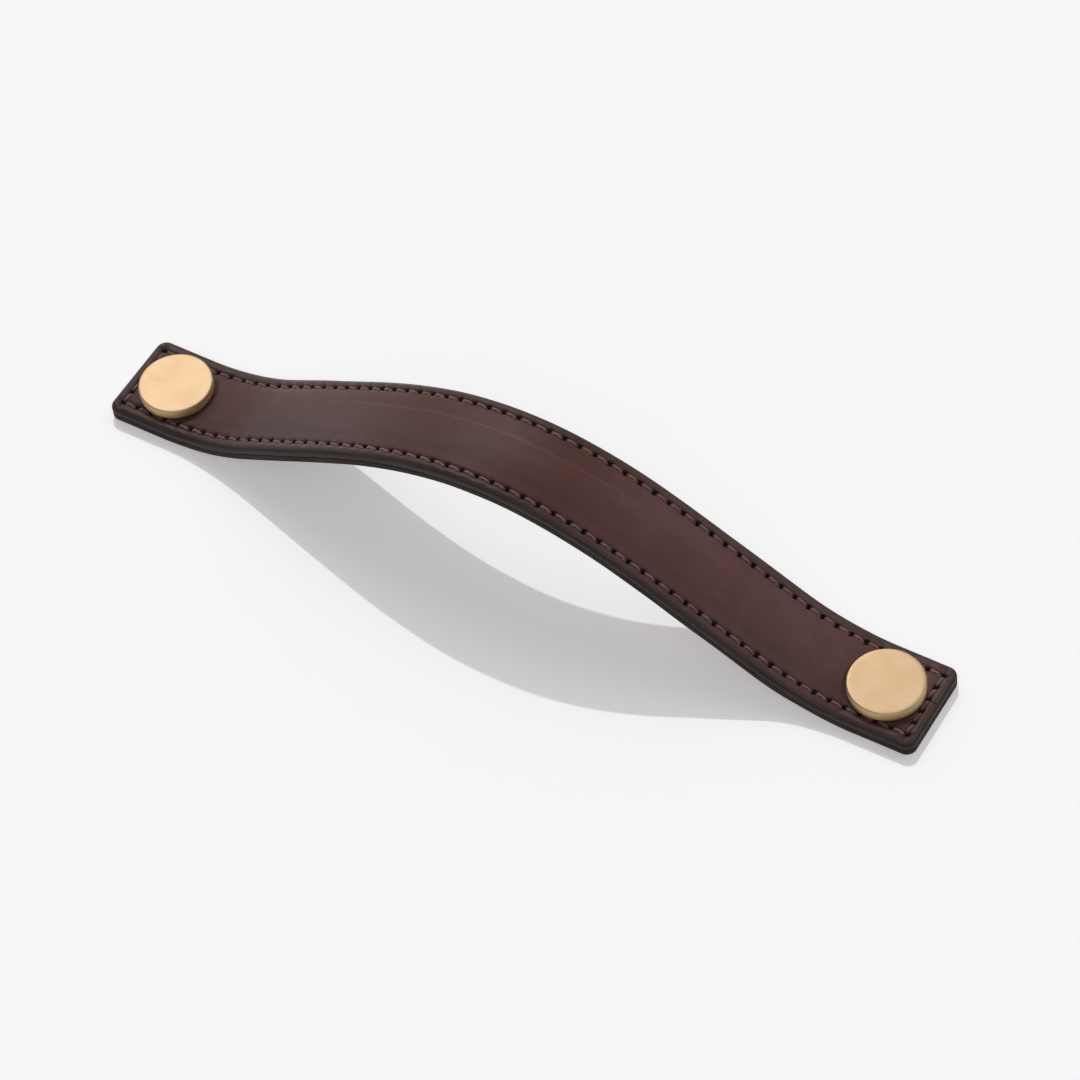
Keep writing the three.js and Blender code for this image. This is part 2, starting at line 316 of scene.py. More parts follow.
# %% The row of holes
row_length = half_length - STITCH_INSET
row_width = STRAP_WIDTH / 2 - STITCH_INSET
long_stitches = round(2 * row_length / STITCH_PITCH)
short_stitches = round(2 * row_width / STITCH_PITCH)
long_places = np.linspace(-row_length, row_length, long_stitches + 1)
short_places = np.linspace(-row_width, row_width, short_stitches + 1)
row_edge = row_width + ROW_WIDENING


def row_at(s):
    """How far the long rows lie from the middle line. They come closer together towards the ends."""
    return row_edge - ROW_NARROWING * (1 - np.cos(math.pi * s / row_length)) / 2


end_scale = row_at(row_length) / row_width
holes = [(s, side * row_at(s), 0) for s in long_places for side in (-1, 1)]
holes += [(side * row_length, y * end_scale, 1) for y in short_places[1:-1] for side in (-1, 1)]
print(len(holes), "holes,", long_stitches, "stitches on a long side and", short_stitches, "on an end")


# %% [markdown]
# ## A strip of leather
# A strip is a flat sheet with a rounded edge, and three things shape its surface: the row of
# stitching pulls it into a shallow valley, each hole is a small pit with drawn-in lips, and the
# button presses a round seat. A displacement texture would blur details of half a millimetre, so the
# sheet is a net of quads that is dense where the holes are, and a rule gives every point its height.
# Outside the net, rings follow the outline with its rounded corners, run down the cut edge and close
# the sheet on its glued side.


# %% How high the leather's surface lies
EDGE_SPREAD = 1.35  # the rounded edge reaches this many times as far in as down
VALLEY_WIDTH = 0.7 * mm
PIT_LENGTH, PIT_WIDTH = 1.08 * mm, 0.74 * mm
DENT_DEPTH, DENT_WIDTH = 0.14 * mm, 1.2 * mm
PUCKER_HEIGHT, PUCKER_INSET, PUCKER_WIDTH = 0.045 * mm, 1.9 * mm, 0.9 * mm
WAVE_HEIGHT, WAVE_LENGTH = 0.03 * mm, 9 * mm
HOLE_REACH, ROW_REACH = 2.5 * mm, 2 * mm
SEAT_FIRM, SEAT_FREE = 0.1 * mm, 1.3 * mm  # past the button's rim


def soft_step(value, low, high):
    t = np.clip((value - low) / (high - low), 0, 1)
    return t * t * (3 - 2 * t)


def ripple(s, seed, waves, shortest):
    """A smooth wandering value between about -1 and 1 along the strap."""
    pick = np.random.default_rng(seed)
    total = 0 * s
    for _ in range(waves):
        length = shortest * pick.uniform(1, 5)
        total = total + np.sin(2 * math.pi * (s / length + pick.random()))
    return total / math.sqrt(waves * 2)


def nearest_hole(s, y):
    """Distance to the nearest hole, along and across its row, and which hole it is."""
    best = np.full(s.shape, 1.0)
    along, across, index = best.copy(), best.copy(), np.zeros(s.shape, int)
    for number, (hole_s, hole_y, turned) in enumerate(holes):
        close = (np.abs(s - hole_s) < HOLE_REACH) & (np.abs(y - hole_y) < HOLE_REACH)
        near = np.nonzero(close)[0]
        ds, dy = s[near] - hole_s, y[near] - hole_y
        distance = np.hypot(ds, dy)
        closer = distance < best[near]
        chosen = near[closer]
        best[chosen] = distance[closer]
        along[chosen] = (dy if turned else ds)[closer]
        across[chosen] = (ds if turned else dy)[closer]
        index[chosen] = number
    return best, along, across, index


def surface(s, y, inset, edge_round, valley, pit_depth, seed):
    """Height of the outer surface above the glue line, and how deep in a pit each point is."""
    top = GLUE_LINE / 2 + PLY
    wide = EDGE_SPREAD * edge_round
    rounding = 1 - np.sqrt(1 - np.clip(1 - inset / wide, 0, 1) ** 2)
    height = top - edge_round * rounding
    row = np.minimum(np.abs(np.abs(y) - row_at(s)), np.abs(np.abs(s) - row_length))
    on_row = (np.abs(y) < row_edge + ROW_REACH) & (np.abs(s) < row_length + ROW_REACH)
    height -= np.where(on_row, valley * np.exp(-((row / VALLEY_WIDTH) ** 2)), 0)
    distance, along, across, index = nearest_hole(s, y)
    pick = np.random.default_rng(seed)
    lean = pick.uniform(0.15, 0.6, len(holes))[index]
    size = pick.uniform(0.88, 1.15, len(holes))[index]
    turned_along = along * np.cos(lean) + across * np.sin(lean)
    turned_across = across * np.cos(lean) - along * np.sin(lean)
    reach = np.hypot(turned_along / (PIT_LENGTH * size), turned_across / (PIT_WIDTH * size))
    pit = 1 - soft_step(reach, 0.5, 1.1)
    height -= pit_depth * pit + DENT_DEPTH * np.exp(-((distance / DENT_WIDTH) ** 2))
    pucker = np.cos(2 * math.pi * (s + row_length) / (2 * row_length / long_stitches))
    lip = np.exp(-(((inset - PUCKER_INSET) / PUCKER_WIDTH) ** 2))
    height -= PUCKER_HEIGHT * pucker * lip
    height += WAVE_HEIGHT * ripple(s + 0.6 * y, seed + 1, 5, WAVE_LENGTH)
    return np.minimum(height, top), pit


def pressed(s, y, height):
    """The surface with the seats of the buttons pressed into it."""
    x = np.interp(s, former_s, former_x)
    z = np.interp(s, former_s, former_z)
    slope = slope_at(s)
    rim = BUTTON_DIAMETER / 2
    for side in (-1, 1):
        r = np.hypot(x + height * np.sin(slope) - side * HOLE_SPACING / 2, y)
        under = 1 - soft_step(r, rim + SEAT_FIRM, rim + SEAT_FREE)
        spare = np.maximum(height - (SEAT_HEIGHT - z) / np.cos(slope), 0)
        height = height - under * spare
    return height


# %% The net of a strip
CORNER_POINTS = 9
LEAST_PACE = 0.06 * mm
# Rings of the cut edge: how far up it each lies, and how much of the bevel it takes
EDGE_RINGS = ((0.7, 0.0), (0.4, 0.0), (0.17, 0.0), (0.06, 0.3), (0.0, 1.0))


def net_lines(half, centres, offsets, others):
    """Places of the net's lines: close together round each centre, and at a few others."""
    lines = [c + o * mm for c in centres for o in offsets] + list(others) + [-half, half]
    lines = sorted(v for v in lines if abs(v) <= half + 1e-9)
    kept = [lines[0]]
    for v in lines[1:]:
        if v - kept[-1] > LEAST_PACE:
            kept.append(v)
    kept[-1] = half
    return np.array(kept)


def strip_mesh(name, side, edge_round, valley, pit_depth, along, across, row_lines, insets, seed):
    """A closed strip of leather, flat. side is 1 above the glue line and -1 below it."""
    a, b = half_length - CORNER_RADIUS, STRAP_WIDTH / 2 - CORNER_RADIUS
    columns = net_lines(a, long_places, along, [])
    end_holes = [y * end_scale + o * mm for y in short_places[1:-1] for o in across]
    rows = net_lines(b, (-row_width, row_width), row_lines, [*np.linspace(-b, b, 15), *end_holes])
    grid_s, grid_y = (g.ravel() for g in np.meshgrid(columns, rows))
    wide, deep = len(columns), len(rows)

    # the net's border, anticlockwise, with the direction in which the rings leave it
    border, outward = [], []
    corner_turns = np.linspace(0, math.pi / 2, CORNER_POINTS)[1:-1]
    strips = [
        (range(wide), -math.pi / 2),
        ([r * wide + wide - 1 for r in range(deep)], 0),
        ([deep * wide - 1 - c for c in range(wide)], math.pi / 2),
        ([r * wide for r in reversed(range(deep))], math.pi),
    ]
    for points, angle in strips:
        points = list(points)
        border += points + [points[-1]] * len(corner_turns)
        outward += [angle] * len(points) + list(angle + corner_turns)
    border, outward = np.array(border), np.array(outward)
    base_s, base_y = grid_s[border], grid_y[border]
    count = len(border)

    def ring(inset):
        """The outline, this far in from the cut edge. The knife wandered a little."""
        wander = 0.05 * mm * ripple(base_s + 0.3 * base_y, seed + 7, 6, 12 * mm) * (inset < 2 * mm)
        out = CORNER_RADIUS - inset + wander
        return base_s + out * np.cos(outward), base_y + out * np.sin(outward)

    net_inset = np.minimum(a - np.abs(grid_s), b - np.abs(grid_y)) + CORNER_RADIUS
    top_s, top_y, top_inset = [grid_s], [grid_y], [net_inset]
    for inset in insets:
        s, y = ring(inset * mm)
        top_s.append(s)
        top_y.append(y)
        top_inset.append(np.full(count, inset * mm))
    s, y, inset = map(np.concatenate, (top_s, top_y, top_inset))
    height, pit = surface(s, y, inset, edge_round, valley, pit_depth, seed)
    if side > 0:
        height = pressed(s, y, height)
    points, pits = [np.column_stack([s, y, height])], [pit]

    # the cut edge, down to the glue line, where it is bevelled a little by the edge tool
    edge = height[-count:]
    bevel_in_mm = 0.16 + 0.1 * ripple(base_s, 5, 6, 6 * mm)
    edge_s, edge_y = ring(0.0)
    for share, bevelled in EDGE_RINGS:
        s = edge_s - bevelled * bevel_in_mm * mm * np.cos(outward)
        y = edge_y - bevelled * bevel_in_mm * mm * np.sin(outward)
        h = GLUE_LINE / 2 + (edge - GLUE_LINE / 2) * share
        points.append(np.column_stack([s, y, h]))
        pits.append(0 * h)
    # the glued side, which touches the other strip: its own border, joined straight across
    once = np.array([i for i in range(count) if border[i] != border[i - 1]])
    points.append(np.column_stack([base_s[once], base_y[once], 0.0 * once]))
    pits.append(0.0 * once)
    points = np.concatenate(points)
    points[:, 2] *= side

    faces = []
    for r in range(deep - 1):
        for c in range(wide - 1):
            i = r * wide + c
            faces.append((i, i + 1, i + 1 + wide, i + wide))
    rings = [list(border)]
    start = wide * deep
    for _ in range(len(insets) + len(EDGE_RINGS)):
        rings.append(list(range(start, start + count)))
        start += count
    place = {int(border[i]): start + n for n, i in enumerate(once)}
    rings.append([place[int(i)] for i in border])
    for inner, outer in zip(rings, rings[1:]):
        for i in range(count):
            j = (i + 1) % count
            face = [inner[i], outer[i], outer[j], inner[j]]
            face = [v for n, v in enumerate(face) if v != face[n - 1]]
            faces.append(tuple(face))
    low = [place[c] for c in range(wide)]
    high = [place[(deep - 1) * wide + c] for c in range(wide)]
    for c in range(1, wide - 2):
        faces.append((low[c], high[c], high[c + 1], low[c + 1]))
    left = [place[r * wide] for r in range(deep)]
    right = [place[r * wide + wide - 1] for r in range(deep)]
    faces.append((*left, high[1], low[1]))
    faces.append((low[-2], high[-2], *reversed(right)))
    if side < 0:
        faces = [tuple(reversed(f)) for f in faces]
    mesh = bpy.data.meshes.new(name)
    mesh.from_pydata(points.tolist(), [], faces)
    mesh.attributes.new("pit", "FLOAT", "POINT").data.foreach_set("value", np.concatenate(pits))
    return mesh


# %% [markdown]
# ## Punching the strips
# The shank of each button goes through both strips, so each is punched twice. A Boolean with a round
# punch does it while the strip is still flat, which is also the order at the bench.


# %% Cut, punch and bend
def punch():
    """Two round punches at the places of the screws, on the flat strap."""
    centre, radius, sides = arch_length + SEAT_FLAT, SHANK_HOLE / 2, 48
    turns = np.linspace(0, 2 * math.pi, sides + 1)[:-1]
    points, faces = [], []
    for side in (-1, 1):
        low = [len(points) + i for i in range(sides)]
        high = [sides + i for i in low]
        for h in (-4 * mm, 4 * mm):
            x = side * centre
            points += [(x + radius * math.cos(t), radius * math.sin(t), h) for t in turns]
        for i in range(sides):
            j = (i + 1) % sides
            faces.append((low[i], low[j], high[j], high[i]))
        faces += [tuple(reversed(low)), tuple(high)]
    mesh = bpy.data.meshes.new("punch")
    mesh.from_pydata(points, [], faces)
    return placed("punch", mesh)


def strip(name, finish, **form):
    """Cuts a strip, punches it and bends it. form is what strip_mesh is told about the strip."""
    flat = placed(name, strip_mesh(name, **form))
    cut = flat.modifiers.new("punch", "BOOLEAN")
    cut.object, cut.operation, cut.solver = shank_punch, "DIFFERENCE", "MANIFOLD"
    return shaped(flat, strip_tree, strip_keys, {"Former": former, "Finish": finish})


shank_punch = punch()
face_finish = bpy.data.materials.new("dyed face leather")
back_finish = bpy.data.materials.new("dyed backing leather")
# lines of the net round each hole, in mm from its middle
fine = (-1.1, -0.88, -0.68, -0.5, -0.33, -0.16, 0, 0.16, 0.33, 0.5, 0.68, 0.88, 1.1, 1.7, 2.3)
fine_row = (-1.3, -1.0, *np.linspace(-0.8, 0.8, 12), 1.0, 1.3, 1.8)
coarse = (-1.0, -0.6, -0.3, 0, 0.3, 0.6, 1.0, 2.3)
face_leather = strip(
    "face_leather",
    face_finish,
    side=1,
    edge_round=1.3 * mm,
    valley=0.3 * mm,
    pit_depth=1.2 * mm,
    along=fine,
    across=fine[:13:2],
    row_lines=fine_row,
    insets=(2.87, 2.72, 2.56, 2.38, 2.15, 1.9, 1.55, 1.15, 0.8, 0.5, 0.27, 0.1, 0.0),
    seed=11,
)
back_leather = strip(
    "back_leather",
    back_finish,
    side=-1,
    edge_round=0.8 * mm,
    valley=0.5 * mm,
    pit_depth=0.9 * mm,
    along=coarse,
    across=coarse[1:6],
    row_lines=coarse,
    insets=(2.75, 2.45, 2.1, 1.6, 1.1, 0.7, 0.4, 0.2, 0.05, 0.0),
    seed=23,
)
bpy.data.objects.remove(shank_punch)

# %% [markdown]
# ## The lockstitch
# Between two holes the needle thread lies on the leather, and at each hole it dives in to meet the
# bobbin thread from the back. Modelling all 124 stitches on each side by hand would be slow and
# uneven, so one stitch is made and a tree sets a copy at every hole of the four sides of the row. A
# seeded random turn and thickness keeps the copies from looking stamped. The last step bends the
# whole row over the former, as the strips were.

# %% One stitch, and the row of them
stitch_inputs = [
    ("Row half length", "Float"),
    ("Row half width", "Float"),
    ("Long stitches", "Int"),
    ("Short stitches", "Int"),
    ("Thread diameter", "Float"),
    ("Laid height", "Float"),
    ("Dip", "Float"),
    ("Slant", "Float"),
    ("Side", "Float"),
    ("Seed", "Int"),
]
STITCH_POINTS, THREAD_SIDES = 11, 7
STITCH_SAG = 0.5 * mm
TURN_CHANCE = 0.05  # radians, either way
THINNEST, THICKEST = 0.9, 1.12
STRETCH_SEED = 9  # added to a side's own seed
stitch_tree, wires, stitch_keys = shaping_tree("sew a row", *stitch_inputs)
tree = stitch_tree

# one stitch: a line that dips at both ends, and a round section for it
line = tree.node("GeometryNodeCurvePrimitiveLine", {"End": (1, 0, 0)})
line = tree.node("GeometryNodeResampleCurve", {"Curve": line, "Count": STITCH_POINTS})
u = tree.node("GeometryNodeSplineParameter", out="Factor")
kept = {"Geometry": line, "Name": "along", "Value": u}
line = tree.node("GeometryNodeStoreNamedAttribute", kept, data_type="FLOAT")
end = u.least(1 - u)
sink = end.step(0.02, 0.27, 1.0, 0.0)
dome = (u - 0.5) * (u - 0.5)
rise = (wires["Laid height"] - wires["Dip"] * sink - dome * STITCH_SAG) * wires["Side"]
spot = tree.vector((u - 0.5) * STITCH_PITCH, (u - 0.5) * wires["Slant"], rise)
line = tree.node("GeometryNodeSetPosition", {"Geometry": line, "Position": spot})
girth = end.step(0.05, 0.32, 0.7, 1.0)
round_section = {"Resolution": THREAD_SIDES, "Radius": wires["Thread diameter"] * 0.5}
ring = tree.node("GeometryNodeCurvePrimitiveCircle", round_section)
kept = {"Geometry": ring, "Name": "section", "Value": tree.node("GeometryNodeInputPosition")}
ring = tree.node("GeometryNodeStoreNamedAttribute", kept, data_type="FLOAT_VECTOR")
stitch = {"Curve": line, "Profile Curve": ring, "Scale": girth, "Fill Caps": True}
stitch = tree.node("GeometryNodeCurveToMesh", stitch)

# the near side to the right, up the right end, back along the far side and down the left end
sewn = []
half_l, half_w = wires["Row half length"], wires["Row half width"]
for number, (sign, turned) in enumerate(((1, 0), (1, 1), (-1, 0), (-1, 1))):
    stitches = wires["Short stitches"] if turned else wires["Long stitches"]
    reach = half_w if turned else half_l
    pitch = (reach * 2).math("DIVIDE", stitches)
    first = (pitch * 0.5 - reach) * sign
    fixed = half_l * sign if turned else half_w * -sign
    start = tree.vector(fixed, first, 0) if turned else tree.vector(first, fixed, 0)
    pace_wire = pitch * sign
    offset = tree.vector(0, pace_wire, 0) if turned else tree.vector(pace_wire, 0, 0)
    row = {"Count": stitches, "Start Location": start, "Offset": offset}
    row = tree.node("GeometryNodeMeshLine", row, mode="OFFSET", count_mode="TOTAL")
    limits = {"Min": (0, 0, -TURN_CHANCE), "Max": (0, 0, TURN_CHANCE)}
    chance = {**limits, "Seed": wires["Seed"] + number}
    turn = tree.node("FunctionNodeRandomValue", chance, data_type="FLOAT_VECTOR")
    angle = math.atan2(sign, 0) if turned else math.atan2(0, sign)
    turn = tree.vector_math("ADD", turn, (0, 0, angle))
    limits = {"Min": (1, THINNEST, 1), "Max": (1, THICKEST, 1)}
    chance = {**limits, "Seed": wires["Seed"] + number + STRETCH_SEED}
    stretch = tree.node("FunctionNodeRandomValue", chance, data_type="FLOAT_VECTOR")
    stretch = tree.vector_math("MULTIPLY", stretch, tree.vector(pitch * (1 / STITCH_PITCH), 1, 1))
    copies = {"Points": row, "Instance": stitch, "Rotation": turn, "Scale": stretch}
    sewn.append(tree.node("GeometryNodeInstanceOnPoints", copies))
joined = tree.node("GeometryNodeJoinGeometry")
for copies in reversed(sewn):
    tree.node_tree.links.new(copies.socket, joined.socket.node.inputs[0])
real = tree.node("GeometryNodeRealizeInstances", {0: joined})
x, y, z = tree.parts(tree.node("GeometryNodeInputPosition"))
waist = (x * (math.pi / row_length)).math("COSINE")
ratio = (waist * (ROW_NARROWING / 2) + (row_edge - ROW_NARROWING / 2)) * (1 / row_width)
narrowed = {"Geometry": real, "Position": tree.vector(x, y * ratio, z)}
narrowed = tree.node("GeometryNodeSetPosition", narrowed)
finish_tree(tree, bend(tree, narrowed, wires["Former"]), wires["Finish"])


def sew(name, finish, **values):
    """Sews one row. values are the inputs of the tree that differ between the two rows."""
    flat = placed(name, bpy.data.meshes.new(name))
    settings = {
        "Former": former,
        "Finish": finish,
        "Row half length": row_length,
        "Row half width": row_width,
        "Long stitches": long_stitches,
        "Short stitches": short_stitches,
    }
    settings.update({title.replace("_", " ").capitalize(): value for title, value in values.items()})
    return shaped(flat, stitch_tree, stitch_keys, settings)


thread_finish = bpy.data.materials.new("waxed thread")
needle_stitches = sew(
    "needle_stitches",
    thread_finish,
    thread_diameter=0.8 * mm,
    laid_height=GLUE_LINE / 2 + PLY - 0.36 * mm,
    dip=1.0 * mm,
    slant=-0.6 * mm,
    side=1.0,
    seed=3,
)
bobbin_stitches = sew(
    "bobbin_stitches",
    thread_finish,
    thread_diameter=THREAD_DIAMETER,
    laid_height=GLUE_LINE / 2 + PLY - 0.6 * mm,
    dip=0.8 * mm,
    slant=0.3 * mm,
    side=-1.0,
    seed=8,
)
bpy.data.objects.remove(former)

# %% [markdown]
# ## The buttons
# A button is turned from brass bar: a disc with a slightly rounded rim, and a shank that is drilled
# and tapped for the screw. Turning means one profile, spun round an axis, and the profile here is
# what the lathe tools leave. The M4 thread is a row of small ridges in the bore.


# %% Turn a button
TAP_PITCH, TAP_TURNS, TAP_DEPTH = 0.7 * mm, 8, 0.33 * mm
SHANK_CHAMFER = 0.3 * mm
ARRIS = 0.35 * mm


def turned_button(name, x):
    """A closed button over the screw at x."""
    rim, top = BUTTON_DIAMETER / 2, SEAT_HEIGHT + BUTTON_THICKNESS
    bore, deep = SCREW_CORE / 2, SHANK_END + SCREW_DEPTH
    shank, seat = SHANK_DIAMETER / 2, SEAT_HEIGHT

    # up the tapped bore's wall to its mouth, round the shank and out under the rim
    profile = [(bore * 0.5, deep + 0.5 * mm), (bore, deep)]
    for ridge in range(TAP_TURNS):
        z = deep - (ridge + 0.5) * TAP_PITCH
        profile += [(bore, z + 0.1 * mm), (bore + TAP_DEPTH, z - 0.2 * mm), (bore, z - 0.5 * mm)]
    profile += [(bore + 0.35 * mm, SHANK_END), (shank - SHANK_CHAMFER, SHANK_END)]
    profile += [(shank, SHANK_END + SHANK_CHAMFER), (shank, seat)]
    profile += [(rim - 0.25 * mm, seat), (rim - 0.07 * mm, seat + 0.06 * mm)]
    profile += [(rim, seat + 0.22 * mm), (rim, seat + 1.2 * mm), (rim, top - 0.45 * mm)]
    for turn in np.linspace(0, math.pi / 2, 6):
        inwards, down = ARRIS * (1 - math.cos(turn)), ARRIS * (1 - math.sin(turn))
        profile.append((rim - inwards, top - down))
    profile += [(rim * 0.9, top), (rim * 0.6, top), (rim * 0.3, top)]

    # spin the profile and close it at the bore's end and at the middle of the face
    sides = 96
    turns = np.linspace(0, 2 * math.pi, sides + 1)[:-1]
    points = [(x + r * math.cos(t), r * math.sin(t), z) for r, z in profile for t in turns]
    points += [(x, 0, deep + 0.8 * mm), (x, 0, top)]
    faces = []
    for k in range(len(profile) - 1):
        for i in range(sides):
            j = (i + 1) % sides
            faces.append((k * sides + i, k * sides + j, (k + 1) * sides + j, (k + 1) * sides + i))
    last = (len(profile) - 1) * sides
    for i in range(sides):
        j = (i + 1) % sides
        faces += [(j, i, len(points) - 2), (last + i, last + j, len(points) - 1)]
    mesh = bpy.data.meshes.new(name)
    mesh.from_pydata(points, [], faces)
    mesh.polygons.foreach_set("use_smooth", [True] * len(mesh.polygons))
    mesh.set_sharp_from_angle(angle=math.radians(35))
    mesh.materials.append(brass_finish)
    print(name, len(mesh.polygons), "faces")
    return placed(name, mesh)


brass_finish = bpy.data.materials.new("brushed brass")
left = turned_button("left_turned_button", -HOLE_SPACING / 2)
right = turned_button("right_turned_button", HOLE_SPACING / 2)

# %% [markdown]
# ## Leather
# Vegetable tanned leather that is dyed and waxed keeps a fine grain, takes the dye in soft streaks
# along the bend, and shines a little more where it is smooth. The margin outside the stitching is
# burnished darker and the cut edge is painted. Painted shade darkens the pits, the crest, the ends
# round the buttons and a nick, and painted light brightens the right end, the far edge, a crease and
# the backing's cut edge. All of it reads the flat place that the bend kept, so the grain follows the
# strap round its curve.


# %% The leather finishes
CREASE_HIGHLIGHT = (0.19, 0.108, 0.092)
NICK_SHADE = (0.012, 0.008, 0.008)
PIT_SHADE = (0.004, 0.003, 0.003)
SEAM = (0.010, 0.008, 0.008)


def fresh_tree(material):
    material.use_nodes = True
    material.node_tree.nodes.clear()
    return Tree(material.node_tree)


def shader(tree, sockets, constants):
    """One Principled shader with its varying sockets wired and its constant ones set."""
    body = tree.node("ShaderNodeBsdfPrincipled", {**sockets, **constants})
    tree.node("ShaderNodeOutputMaterial", {"Surface": body})


def bump(tree, height, distance, strength):
    sockets = {"Height": height, "Distance": distance, "Strength": strength}
    return tree.node("ShaderNodeBump", sockets)


def leather(material, dye, deep_dye, warm_and_crest_shade_colour, edge_paint, gloss, shine):
    """The look of one strip: three dyes for its face, a paint for its edge, and how it shines."""
    tree = fresh_tree(material)
    flat = tree.node("ShaderNodeAttribute", attribute_name="flat", out="Vector")
    pit = tree.node("ShaderNodeAttribute", attribute_name="pit", out="Fac")
    s, y, h = tree.parts(flat)
    inset = (STRAP_WIDTH / 2 - y.size()).least(half_length - s.size())
    out = h.size()

    # the dye: clouds, warm patches with painted shade making the crest darker and redder, streaks
    # along the strap, fine grain and pores
    clouds = tree.noise(flat, (30, 110, 60), detail=3)
    streaks = tree.noise(flat, (16, 420, 200), detail=3)
    mottle = tree.noise(flat, (200, 230, 200), detail=4, roughness=0.6)
    grain = tree.noise(flat, (2600, 3200, 2600), detail=3)
    pores = tree.noise(flat, (900, 1400, 900), detail=1).step(0.66, 0.78)
    warm_and_crest_shade = tree.noise(flat, (22, 60, 40), detail=2).step(0.42, 0.7, 0.0, 0.5)
    # painted shade: the crest is made darker and redder, on top of the warm patches
    warm_and_crest_shade = (warm_and_crest_shade + (s - 4 * mm).size().step(8 * mm, 50 * mm, 0.6, 0.0)).least(1)
    colour = tree.mix(clouds.step(0.3, 0.7), dye, deep_dye)
    colour = tree.mix(warm_and_crest_shade, colour, warm_and_crest_shade_colour)
    tone = streaks.step(0.25, 0.75, 0.93, 1.06) * mottle.step(0.3, 0.7, 0.92, 1.08)
    tone = tone * grain.step(0.3, 0.7, 0.93, 1.06) * pores.step(0, 1, 1.0, 0.85)
    # painted light raises the tone to the right end and to the far edge, and painted shade lowers it
    # round the buttons
    tone = tone * s.step(5 * mm, 40 * mm, 1.0, 1.27) * y.step(-8 * mm, 8 * mm, 0.9, 1.15)
    tone = tone * s.size().step(half_length - 32 * mm, half_length - 24 * mm, 1.0, 0.78)

    # handling: a crease where the strap is squeezed, with a painted highlight along it, a rubbed lane,
    # scuffs, and a nick with painted shade in it
    drift = tree.noise(flat, (45, 0, 0), detail=5, roughness=0.6)
    crease = (y - drift * (3.5 * mm) - 2.9 * mm).size()
    crease = crease.step(0.05 * mm, 0.3 * mm, 0.6, 0.0) + crease.step(0.1 * mm, 1.0 * mm, 0.4, 0.0)
    crease = crease * (s + 12 * mm).size().step(35 * mm, 65 * mm, 1.0, 0.0)
    rub = (y + drift * (4 * mm) + 4.2 * mm).size().step(0.2 * mm, 1.6 * mm, 1.0, 0.0)
    scuffs = tree.noise(flat, (260, 1500, 300), detail=2).step(0.69, 0.75)
    nick = (y - drift * (1 * mm) - 0.8 * mm).size().step(0.08 * mm, 0.4 * mm, 1.0, 0.0)
    nick = nick * (half_length - s).step(2.4 * mm, 3.2 * mm, 1.0, 0.0)
    tone = tone * (1 - rub * 0.12) * (scuffs * 0.35 + 1)
    colour = tree.dimmed(colour, tone)
    # painted highlight along the crease
    colour = tree.mix(crease * 0.32, colour, CREASE_HIGHLIGHT)

    # the margin outside the stitches is darker from the slicker, and painted shade makes the holes
    # dark
    margin = inset.step(1.9 * mm, 3.1 * mm, 1.0, 0.0)
    colour = tree.mix(margin * 0.5, colour, edge_paint)
    # painted shade in the nick
    colour = tree.mix(nick * 0.65, colour, NICK_SHADE)
    # painted shade makes the holes nearly black
    colour = tree.mix(pit.step(0.02, 0.5, 0.0, 0.95), colour, PIT_SHADE)

    # the cut edge: paint that was drawn out in lines along it, and the seam of the two strips
    top = GLUE_LINE / 2 + PLY
    edge = out.step(top - 0.55 * mm, top - 0.12 * mm, 1.0, 0.0)
    drawn = tree.noise(flat, (70, 70, 3000), detail=3)
    fibres = tree.noise(flat, (900, 900, 2600), detail=3)
    paint = tree.dimmed(edge_paint, drawn.step(0.35, 0.62, 0.5, 0.88))
    colour = tree.mix(edge, colour, paint)
    seam = tree.noise(flat, (260, 260, 100)).step(0.4, 0.52)
    seam = seam * out.step(0.08 * mm, 0.26 * mm, 1.0, 0.0)
    colour = tree.mix(seam * 0.75, colour, SEAM)

    # shine and relief: cloudy on the face, dull on the cut edge
    rough = gloss + clouds.step(0.3, 0.7, -0.04, 0.05) + streaks.step(0.3, 0.7, -0.03, 0.03)
    rough = rough + pit * 0.3 + edge * 0.32 - margin * 0.06 - crease * 0.06
    wrinkles = tree.noise(flat, (260, 900, 300), detail=3)
    height = grain * 0.5 + wrinkles * 0.5 - pores * 0.35
    height = height + edge * (drawn * 3.0 + fibres * 4.0) + crease * 0.6 - nick * 4.0
    normal = bump(tree, height, 0.05 * mm, 0.5)
    sockets = {"Base Color": colour, "Roughness": rough, "Normal": normal}
    shader(tree, sockets, {"Specular IOR Level": shine})


face_dyes = (0.102, 0.0415, 0.038), (0.091, 0.0385, 0.035), (0.094, 0.030, 0.0235)
back_dyes = (0.05, 0.026, 0.023), (0.042, 0.022, 0.02), (0.055, 0.026, 0.022)
leather(face_finish, *face_dyes, edge_paint=(0.060, 0.040, 0.037), gloss=0.37, shine=0.42)
# the backing's edge paint is lighter than the face's: painted light on an edge that lies in shade
leather(back_finish, *back_dyes, edge_paint=(0.080, 0.054, 0.049), gloss=0.56, shine=0.3)

# %% [markdown]
# ## Thread
# Waxed polyester is laid from three strands, and the twist shows as slanted ridges. The stitch is too
# small for real strands, so the angle round the thread and the distance along it give the ridges
# to a bump. Painted shade darkens the grooves between them and the ends that dive into the holes.

# %% The thread finish
STRAND, GROOVE_SHADE, WAX = (0.33, 0.20, 0.175), (0.07, 0.038, 0.033), (0.21, 0.12, 0.10)

tree = fresh_tree(thread_finish)
section = tree.node("ShaderNodeAttribute", attribute_name="section", out="Vector")
along = tree.node("ShaderNodeAttribute", attribute_name="along", out="Fac")
flat = tree.node("ShaderNodeAttribute", attribute_name="flat", out="Vector")
sx, sy, _ = tree.parts(section)
angle = sy.math("ARCTAN2", sx)
strand = (angle * 1.5 + along * (math.pi * 2.6)).math("SINE").size()
wax = tree.noise(flat, (700, 700, 700), detail=2)
